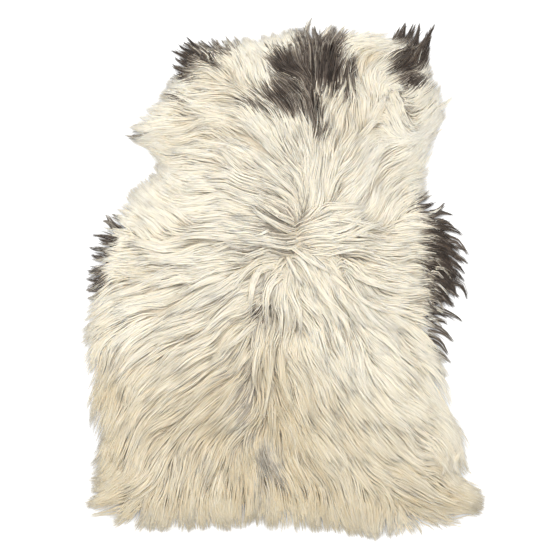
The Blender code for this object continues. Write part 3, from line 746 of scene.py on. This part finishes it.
def strand_mesh(name, points, width, tones, rng):
    """One mesh of closed three-sided tapering strands."""
    count, rings = len(points), points.shape[1] - 1
    way = np.empty_like(points)
    way[:, 1:-1] = points[:, 2:] - points[:, :-2]
    way[:, 0] = points[:, 1] - points[:, 0]
    way[:, -1] = points[:, -1] - points[:, -2]
    way /= np.linalg.norm(way, axis=-1)[..., None]
    side = np.cross(way, (0.0, 0.0, 1.0))
    side /= np.maximum(np.linalg.norm(side, axis=-1), 1e-6)[..., None]
    over = np.cross(side, way)
    roll = rng.uniform(0, 2 * math.pi, (count, 1, 1))
    corners, faced = [], []
    for corner in range(3):
        turn = roll + corner * 2 * math.pi / 3
        spoke = side * np.cos(turn) * 1.35 + over * np.sin(turn) * 0.5
        corners.append((points + spoke * width[..., None])[:, :rings])
        faced.append((spoke + over * NORMAL_LIFT * smooth(np.sin(turn) + 0.95))[:, :rings])
    verts = np.concatenate([np.stack(corners, 2).reshape(count, rings * 3, 3), points[:, rings:]], 1)
    normals = np.concatenate([np.stack(faced, 2).reshape(count, rings * 3, 3), over[:, rings:]], 1)
    normals /= np.linalg.norm(normals, axis=-1)[..., None]
    each = rings * 3 + 1

    quads = []
    for ring in range(rings - 1):
        for corner in range(3):
            a, b = ring * 3 + corner, ring * 3 + (corner + 1) % 3
            quads.append((a, a + 3, b + 3, b))
    last = (rings - 1) * 3
    tris = [(last + (c + 1) % 3, last + c, each - 1) for c in range(3)]
    tris.append((0, 1, 2))
    start = (np.arange(count) * each)[:, None, None]
    quads = (np.array(quads)[None] + start).reshape(-1, 4)
    tris = (np.array(tris)[None] + start).reshape(-1, 3)

    mesh = bpy.data.meshes.new(name)
    mesh.vertices.add(count * each)
    mesh.vertices.foreach_set("co", verts.astype(np.float32).ravel())
    loops = np.concatenate([quads.ravel(), tris.ravel()])
    mesh.loops.add(len(loops))
    mesh.loops.foreach_set("vertex_index", loops.astype(np.int32))
    starts = np.concatenate([np.arange(len(quads)) * 4, len(quads) * 4 + np.arange(len(tris)) * 3])
    mesh.polygons.add(len(starts))
    mesh.polygons.foreach_set("loop_start", starts.astype(np.int32))
    mesh.update(calc_edges=True)
    mesh.validate()
    mesh.shade_smooth()
    mesh.normals_split_custom_set_from_vertices(normals.reshape(-1, 3))
    for tone, value in tones.items():
        value = np.broadcast_to(value, (count, rings + 1))
        spread = np.repeat(value[:, :rings], 3, 1)
        whole = np.concatenate([spread, value[:, rings:]], 1)
        layer = mesh.attributes.new(tone, "FLOAT", "POINT")
        layer.data.foreach_set("value", whole.astype(np.float32).ravel())
    return mesh


def new_piece(name, mesh, material):
    piece = bpy.data.objects.new(name, mesh)
    bpy.context.scene.collection.objects.link(piece)
    mesh.materials.append(material)
    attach(piece, "root")
    return piece


class Nodes:
    """A material's node tree, with a short way to add and join nodes."""

    def __init__(self, name):
        self.material = bpy.data.materials.new(name)
        self.material.use_nodes = True
        self.tree = self.material.node_tree
        self.shader = self.tree.nodes["Principled BSDF"]

    def add(self, kind, **settings):
        node = self.tree.nodes.new(kind)
        for key, value in settings.items():
            setattr(node, key, value)
        return node

    def link(self, source, target):
        self.tree.links.new(source, target)

    def value(self, target, source):
        if isinstance(source, (int, float)):
            target.default_value = source
        elif isinstance(source, tuple):
            target.default_value = (*source, 1.0)[: len(target.default_value)]
        else:
            self.link(source, target)

    def math(self, operation, a, b=0.0, c=0.0):
        node = self.add("ShaderNodeMath", operation=operation)
        for socket, source in zip(node.inputs, (a, b, c)):
            self.value(socket, source)
        return node.outputs[0]

    def attribute(self, name):
        return self.add("ShaderNodeAttribute", attribute_name=name).outputs["Fac"]

    def mix(self, factor, a, b, blend="MIX"):
        node = self.add("ShaderNodeMix", data_type="RGBA", blend_type=blend)
        self.value(node.inputs[0], factor)
        self.value(node.inputs[6], a)
        self.value(node.inputs[7], b)
        return node.outputs[2]

    def noise(self, scale, detail=3.0, stretch=None):
        place = self.add("ShaderNodeTexCoord").outputs["Object"]
        if stretch:
            mapping = self.add("ShaderNodeMapping")
            mapping.inputs["Scale"].default_value = stretch
            self.link(place, mapping.inputs["Vector"])
            place = mapping.outputs[0]
        node = self.add("ShaderNodeTexNoise")
        node.inputs["Scale"].default_value = scale
        node.inputs["Detail"].default_value = detail
        self.link(place, node.inputs["Vector"])
        return node.outputs["Fac"]

    def ramp(self, source, *stops):
        node = self.add("ShaderNodeValToRGB")
        elements = node.color_ramp.elements
        while len(elements) < len(stops):
            elements.new(1.0)
        for element, (place, colour) in zip(elements, stops):
            element.position = place
            element.color = (*colour, 1.0)
        self.link(source, node.inputs[0])
        return node.outputs[0]


def wool_material(name, lift):
    """Long wool. lift is how much lighter or darker than usual it is."""
    n = Nodes(name)
    cloud = n.noise(9.0)
    fine = n.noise(70.0)
    # The cream is darkened towards buff: buff wool, and painted shade where strands lie deep and over the lower half.
    warm_and_shade = n.math("MULTIPLY_ADD", n.math("SUBTRACT", cloud, 0.5), 0.5, n.attribute("warmth_and_shade"))
    cream = n.mix(warm_and_shade, (0.785, 0.70, 0.56), (0.53, 0.43, 0.285))
    # Near the roots the wool is painted darker and browner: partly its own darker base, partly painted shade deep in
    # the fleece.
    along = n.attribute("along")
    root = n.math("SUBTRACT", 1.0, n.math("MULTIPLY", along, 3.5))
    root = n.math("MAXIMUM", root, 0.0)
    cream = n.mix(n.math("MULTIPLY", root, 0.35), cream, (0.60, 0.51, 0.38))
    pigment = n.math("MULTIPLY_ADD", n.math("SUBTRACT", fine, 0.5), 0.25, n.attribute("pigment"))
    # The low end of this ramp gives the greys of the grey patches, many of them painted shade; the high end gives the
    # dark hair.
    dark = n.ramp(
        pigment,
        (0.15, (0.56, 0.505, 0.405)),
        (0.45, (0.26, 0.224, 0.18)),
        (0.75, (0.088, 0.069, 0.055)),
        (1.0, (0.026, 0.019, 0.015)),
    )
    share = n.math("MULTIPLY", pigment, 2.6)
    share = n.math("MINIMUM", n.math("MAXIMUM", share, 0.0), 1.0)
    colour = n.mix(share, cream, dark)
    swing = n.math("MULTIPLY_ADD", pigment, 0.35, 0.045)
    tone = n.math("MULTIPLY_ADD", n.attribute("lightness"), swing, 1.0 + lift)
    lit = n.add("ShaderNodeCombineColor")
    for socket in lit.inputs:
        n.value(socket, tone)
    colour = n.mix(1.0, colour, lit.outputs[0], "MULTIPLY")
    n.link(colour, n.shader.inputs["Base Color"])
    n.value(n.shader.inputs["Roughness"], n.math("MULTIPLY_ADD", fine, 0.2, 0.46))
    n.shader.inputs["Specular IOR Level"].default_value = 0.12
    n.shader.inputs["Subsurface Weight"].default_value = 0.5
    n.shader.inputs["Subsurface Radius"].default_value = (1.0, 0.75, 0.5)
    n.shader.inputs["Subsurface Scale"].default_value = 0.001
    n.shader.inputs["Sheen Weight"].default_value = 0.02
    n.shader.inputs["Sheen Roughness"].default_value = 0.5
    return n.material


def suede_material():
    n = Nodes("suede")
    cloud = n.noise(6.0, 5.0)
    grain = n.noise(900.0, 4.0)
    colour = n.mix(cloud, (0.70, 0.58, 0.42), (0.82, 0.74, 0.60))
    colour = n.mix(n.math("MULTIPLY", grain, 0.25), colour, (0.52, 0.42, 0.30))
    n.link(colour, n.shader.inputs["Base Color"])
    n.value(n.shader.inputs["Roughness"], n.math("MULTIPLY_ADD", grain, 0.12, 0.8))
    bump = n.add("ShaderNodeBump")
    bump.inputs["Strength"].default_value = 0.35
    bump.inputs["Distance"].default_value = 0.0008
    n.link(grain, bump.inputs["Height"])
    n.link(bump.outputs[0], n.shader.inputs["Normal"])
    n.shader.inputs["Sheen Weight"].default_value = 0.2
    return n.material


def shaded_underwool_material():
    n = Nodes("underwool")
    cloud = n.noise(14.0, 4.0)
    fibre = n.noise(260.0, 5.0)
    # The underwool is painted darker and browner than the long wool: painted shade of the wool deep between the
    # locks, with darker fibre streaks.
    colour = n.mix(cloud, (0.70, 0.61, 0.46), (0.77, 0.68, 0.53))
    colour = n.mix(n.math("MULTIPLY", fibre, 0.6), colour, (0.58, 0.48, 0.35))
    pigment = n.attribute("pigment")
    colour = n.mix(pigment, colour, (0.05, 0.042, 0.036))
    n.link(colour, n.shader.inputs["Base Color"])
    n.shader.inputs["Roughness"].default_value = 0.95
    bump = n.add("ShaderNodeBump")
    bump.inputs["Strength"].default_value = 0.8
    bump.inputs["Distance"].default_value = 0.003
    n.link(fibre, bump.inputs["Height"])
    n.link(bump.outputs[0], n.shader.inputs["Normal"])
    return n.material


def disc_mesh(name, outline, rings, top, bottom):
    """A closed body over an outline, with rings towards its middle. top and bottom give the heights."""
    count = len(outline)
    middle = np.array(WHORL)
    layers = [middle + (outline - middle) * share for share in rings]
    flat = np.concatenate(layers + [middle[None]])
    upper = np.concatenate([flat, top(flat)[:, None]], 1)
    lower = np.concatenate([flat, bottom(flat)[:, None]], 1)
    each = len(flat)
    faces = []
    for ring in range(len(rings) - 1):
        for i in range(count):
            j = (i + 1) % count
            a, b = ring * count + i, ring * count + j
            c, d = b + count, a + count
            faces.append((a, d, c, b))
            faces.append((a + each, b + each, c + each, d + each))
    last = (len(rings) - 1) * count
    for i in range(count):
        j = (i + 1) % count
        faces.append((last + i, each - 1, last + j))
        faces.append((last + i + each, last + j + each, 2 * each - 1))
        faces.append((i, j, j + each, i + each))
    mesh = bpy.data.meshes.new(name)
    mesh.from_pydata(np.concatenate([upper, lower]).tolist(), [], faces)
    mesh.validate()
    mesh.shade_smooth()
    return mesh


def build_skin(skin):
    def top(points):
        return np.full(len(points), SKIN_THICKNESS)

    def bottom(points):
        return np.full(len(points), 0.1 * MM)

    mesh = disc_mesh("hide", skin[::2], np.array((1.0, 0.985, 0.9, 0.6, 0.3)), top, bottom)
    return new_piece("hide", mesh, suede_material())


def body_height(points, outline, height, spread):
    """The height of the dense wool under the locks, which is lower where the wool parts."""
    inner = smooth(inside_distance(points, outline) / (60 * MM))
    share = 0.76 - 0.16 * np.clip(spread / 30, 0, 1)
    return BODY_RIM + (height * share - BODY_RIM) * inner


def build_underwool(skin, body):
    """The short dense wool next to the skin, which closes the gaps between the locks."""
    rng = np.random.default_rng(SEED + 1)
    outline = drawn_in(skin, -BODY_OUTSET)

    def top(points):
        return np.maximum(body.at(points) + rng.normal(0, 0.8 * MM, len(points)), BODY_RIM)

    def bottom(points):
        return np.full(len(points), SKIN_THICKNESS + 0.2 * MM)

    rings = np.linspace(1, 0.03, 26)
    mesh = disc_mesh("underwool", outline[::2], rings, top, bottom)
    places = np.empty(len(mesh.vertices) * 3)
    mesh.vertices.foreach_get("co", places)
    dark, _ = patch_strength(seen(places.reshape(-1, 3)), DARK_PATCHES)
    layer = mesh.attributes.new("pigment", "FLOAT", "POINT")
    layer.data.foreach_set("value", smooth(dark * 1.3).astype(np.float32))
    return new_piece("underwool", mesh, shaded_underwool_material())


def build_fleece(skin, fields):
    rng = np.random.default_rng(SEED)
    coat = np.concatenate([field_roots(rng, skin, COAT.spacing), parting_roots(rng, skin, fields.spread)])
    roots = {COAT: coat, EDGE: edge_roots(rng, skin, EDGE.spacing), TOP: field_roots(rng, skin, TOP.spacing)}
    parts = [grow(rng, combed_courses(rng, at, fields, kind), fields, kind) for kind, at in roots.items()]
    spikes = np.array(SPIKES, float)
    width = spikes[:, 5] * METRES_A_PIXEL
    course = placed_courses(spike_curves(), width, spikes[:, 6], np.zeros(len(spikes)))
    parts.append(grow(rng, course, fields, SPIKE))
    curls = np.array([row[:3] for row in CURLS], float)
    course = placed_courses(curl_curves(), curls[:, 0] * METRES_A_PIXEL, curls[:, 2], curls[:, 1] * MM)
    parts.append(grow(rng, course, fields, CURL))
    points = np.concatenate([p[0] for p in parts])
    width = np.concatenate([p[1] for p in parts])
    tones = {}
    for name in parts[0][2]:
        rows = [np.broadcast_to(p[2][name], (len(p[0]), len(RINGS))) for p in parts]
        tones[name] = np.concatenate(rows)
    sector = np.concatenate([p[3] for p in parts])
    print("locks", [len(at) for at in roots.values()], "strands", len(points))

    material = wool_material("long_wool", 0.0)
    pieces = []
    for name, low, high in FLEECE:
        here = ((sector - low) % 360) < high - low
        chosen = {tone: value[here] for tone, value in tones.items()}
        mesh = strand_mesh(name, points[here], width[here], chosen, rng)
        triangles = sum(len(p.vertices) - 2 for p in mesh.polygons)
        print(name, here.sum(), "triangles", triangles)
        pieces.append(new_piece(name, mesh, material))
    return pieces


def build_floor():
    bpy.ops.mesh.primitive_plane_add(size=12, location=(0, 0, 0))
    floor = bpy.context.object
    floor.name = "floor"
    n = Nodes("floor")
    tone = n.mix(n.noise(2.0), (0.90, 0.90, 0.90), (0.93, 0.93, 0.925))
    n.link(tone, n.shader.inputs["Base Color"])
    n.shader.inputs["Roughness"].default_value = 0.9
    floor.data.materials.append(n.material)


def area_light(name, place, size, power, aim=(0.0, 0.0, 0.0)):
    light = bpy.data.lights.new(name, "AREA")
    light.shape = "SQUARE"
    light.size = size
    light.energy = power
    lamp = bpy.data.objects.new(name, light)
    lamp.location = place
    way = Vector(aim) - Vector(place)
    lamp.rotation_euler = way.to_track_quat("-Z", "Y").to_euler()
    bpy.context.scene.collection.objects.link(lamp)


def build_studio():
    camera = bpy.data.cameras.new("camera")
    camera.lens = LENS
    camera.sensor_width = SENSOR
    lens = bpy.data.objects.new("camera", camera)
    lens.location = CAMERA_PLACE
    lens.rotation_euler = (TILT, 0.0, 0.0)
    bpy.context.scene.collection.objects.link(lens)
    bpy.context.scene.camera = lens
    area_light("key", (-1.0, 1.4, 2.4), 2.2, 34)
    area_light("front", (0.0, -0.7, 3.1), 2.2, 60)
    world = bpy.data.worlds.new("studio")
    world.use_nodes = True
    background = world.node_tree.nodes["Background"]
    background.inputs["Color"].default_value = (1.0, 1.0, 1.0, 1.0)
    background.inputs["Strength"].default_value = 1.0
    bpy.context.scene.world = world
    bpy.context.scene.view_settings.view_transform = "Standard"


build_studio()
build_floor()
tips = tip_line()
skin_line = drawn_in(tips, SKIN_INSET)
places = grid_points()
inside = inside_distance(places, tips)
depth_field = Field(inside)
height_field = Field(surface_height(places, inside))
rng = np.random.default_rng(SEED + 2)
ways = comb_field(places).reshape(len(GRID_Y), len(GRID_X), 2)
clumped = 0.15 + 0.85 * patch_strength(seen(raised(places, height_field.at(places))), CLUMPED)[0]
locky = clumped.reshape(len(GRID_Y), len(GRID_X))
strays = math.radians(8) * noise_field(rng, 0.05) + np.radians(3 + 12 * locky) * noise_field(rng, 0.026)
combed = Field(turned(ways, strays))
parted = spread_of(combed)
body = body_height(places, drawn_in(skin_line, -BODY_OUTSET), height_field.at(places), parted.ravel())
fields = Fields(
    comb=combed,
    depth=depth_field,
    height=height_field,
    body=Field(body),
    spread=Field(parted),
    lumps=Field(noise_field(rng, 0.035)),
    clumped=Field(clumped),
    rim=Rim(rng, tips),
)

skin = build_skin(skin_line)
under = build_underwool(skin_line, fields.body)
fleece = build_fleece(skin_line, fields)
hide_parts("sheepskin")
for piece in (under, *fleece):
    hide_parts("sheepskin")
